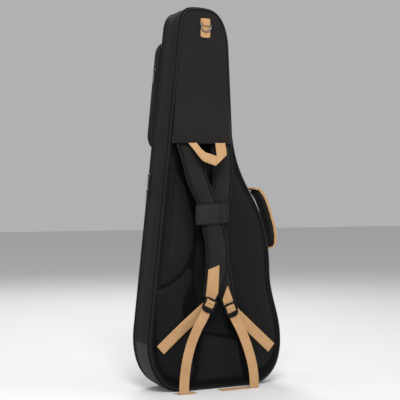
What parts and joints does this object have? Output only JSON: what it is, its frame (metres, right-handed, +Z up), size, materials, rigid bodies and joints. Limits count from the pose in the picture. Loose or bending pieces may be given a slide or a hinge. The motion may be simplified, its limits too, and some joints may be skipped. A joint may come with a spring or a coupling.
{
  "type": "padded gig bag",
  "caption": "Padded electric guitar gig bag with zipped lid, front pockets, backpack straps, mesh back pads and webbing handles; it holds, cushions and carries a guitar.",
  "frame": {"origin": "on the floor, on the flat foot of the bag, below its waist and halfway through its back tray's depth", "axes": "+Z up along the neck, the padded back with the straps faces -Y, the zipped front faces +Y, +X is to the right for someone looking at the back"},
  "size_m": [0.4152, 0.2317, 1.036],
  "materials": {
    "shell_fabric": "matt woven polyester over foam",
    "panel_fabric": "matt plain-weave polyester",
    "pad_mesh": "matt 3-D spacer mesh",
    "binding": "fine grosgrain over cord piping",
    "lining": "soft brushed plush",
    "foam": "brushed cloth over foam",
    "webbing": "tan woven cotton-feel webbing",
    "zip_tape": "matt zipper tape and nylon coil",
    "plastic": "moulded acetal, fine satin",
    "metal": "polished nickel",
    "guard": "ribbed coated reinforcement cloth"
  },
  "bodies": {
    "bag": {"back_shell": "shell_fabric", "back_lining": "lining", "back_piping": "binding", "zipper_tape_back": "zip_tape", "zipper_coil": "zip_tape", "hinge_strip": "shell_fabric", "upper_back_panel": "panel_fabric", "lumbar_pad": "pad_mesh", "lower_left_pad": "panel_fabric", "right_pad": "panel_fabric", "bottom_pad": "panel_fabric", "spine_panel": "pad_mesh", "corner_guard_left": "guard", "corner_guard_right": "guard", "anchor_webbing_left": "webbing", "anchor_webbing_right": "webbing", "d_ring_tab": "webbing", "handle_anchor_upper": "shell_fabric", "handle_anchor_lower": "shell_fabric", "neck_cradle": "foam", "neck_strap": "webbing", "headstock_pad": "foam", "bottom_block": "foam"},
    "lid": {"front_panel": "shell_fabric", "front_piping": "binding", "bridge_guard": "foam", "zipper_tape_front": "zip_tape", "neck_pocket": "shell_fabric", "neck_pocket_zipper": "zip_tape", "body_pocket": "shell_fabric", "body_pocket_zipper": "zip_tape"},
    "upper_slider": {"upper_slider": "metal"},
    "upper_pull": {"upper_pull": "metal"},
    "lower_slider": {"lower_slider": "metal"},
    "lower_pull": {"lower_pull": "metal"},
    "neck_pocket_slider": {"neck_pocket_slider": "metal"},
    "neck_pocket_pull": {"neck_pocket_pull": "metal"},
    "body_pocket_slider": {"body_pocket_slider": "metal"},
    "body_pocket_pull": {"body_pocket_pull": "metal"},
    "left_strap": {"strap_pad_left": "shell_fabric", "strap_webbing_left": "webbing", "ladder_lock_left": "plastic", "strap_tail_left": "webbing", "strap_wrap": "panel_fabric"},
    "right_strap": {"strap_pad_right": "shell_fabric", "strap_webbing_right": "webbing", "ladder_lock_right": "plastic", "strap_tail_right": "webbing"},
    "haul_handle": {"haul_handle": "webbing"},
    "d_ring": {"d_ring": "metal"},
    "side_handle": {"side_handle_webbing": "webbing", "side_handle_grip": "shell_fabric"}
  },
  "joints": [
    {"name": "lid_open", "type": "hinge", "parent": "bag", "child": "lid", "pos_m": [0.20597, 0.0375, 0.26689], "axis": [0.157, 0, -0.9876], "range_deg": [0, 100]},
    {"name": "upper_slider_run", "type": "slide", "parent": "bag", "child": "upper_slider", "axis": [0.1079, 0, 0.9942], "range_m": [0, 0.385]},
    {"name": "upper_pull_swing", "type": "hinge", "parent": "upper_slider", "child": "upper_pull", "pos_m": [-0.13831, 0.0375, 0.58262], "axis": [0, 1, 0], "range_deg": [0, 150]},
    {"name": "lower_slider_run", "type": "slide", "parent": "bag", "child": "lower_slider", "axis": [0.1079, 0, 0.9942], "range_m": [-0.355, 0]},
    {"name": "lower_pull_swing", "type": "hinge", "parent": "lower_slider", "child": "lower_pull", "pos_m": [-0.14287, 0.0375, 0.54062], "axis": [0, 1, 0], "range_deg": [0, 150]},
    {"name": "neck_pocket_slider_run", "type": "slide", "parent": "lid", "child": "neck_pocket_slider", "axis": [0.1004, 0, 0.9949], "range_m": [-0.155, 0]},
    {"name": "neck_pocket_pull_swing", "type": "hinge", "parent": "neck_pocket_slider", "child": "neck_pocket_pull", "pos_m": [-0.10791, 0.0696, 0.87557], "axis": [0, 1, 0], "range_deg": [0, 150]},
    {"name": "body_pocket_slider_run", "type": "slide", "parent": "lid", "child": "body_pocket_slider", "axis": [0.1059, 0, 0.9944], "range_m": [-0.24, 0]},
    {"name": "body_pocket_pull_swing", "type": "hinge", "parent": "body_pocket_slider", "child": "body_pocket_pull", "pos_m": [-0.12283, 0.0696, 0.4406], "axis": [0, 1, 0], "range_deg": [0, 150]},
    {"name": "left_strap_swing", "type": "hinge", "parent": "bag", "child": "left_strap", "pos_m": [-0.02, -0.064, 0.674], "axis": [-1, 0, 0], "range_deg": [0, 10]},
    {"name": "right_strap_swing", "type": "hinge", "parent": "bag", "child": "right_strap", "pos_m": [-0.02, -0.064, 0.674], "axis": [-1, 0, 0], "range_deg": [0, 10]},
    {"name": "haul_handle_swing", "type": "hinge", "parent": "bag", "child": "haul_handle", "pos_m": [-0.021, -0.088, 0.672], "axis": [-1, 0, 0], "range_deg": [0, 110]},
    {"name": "d_ring_swing", "type": "hinge", "parent": "bag", "child": "d_ring", "pos_m": [-0.013, -0.0632, 0.992], "axis": [-1, 0, 0], "range_deg": [0, 85]},
    {"name": "side_handle_swing", "type": "hinge", "parent": "bag", "child": "side_handle", "pos_m": [0.16, 0, 0.46], "axis": [-0.3622, 0, 0.9321], "range_deg": [-20, 20]}
  ],
  "couplings": [
    {"joint": "right_strap_swing", "follows": "left_strap_swing", "ratio": 1}
  ]
}
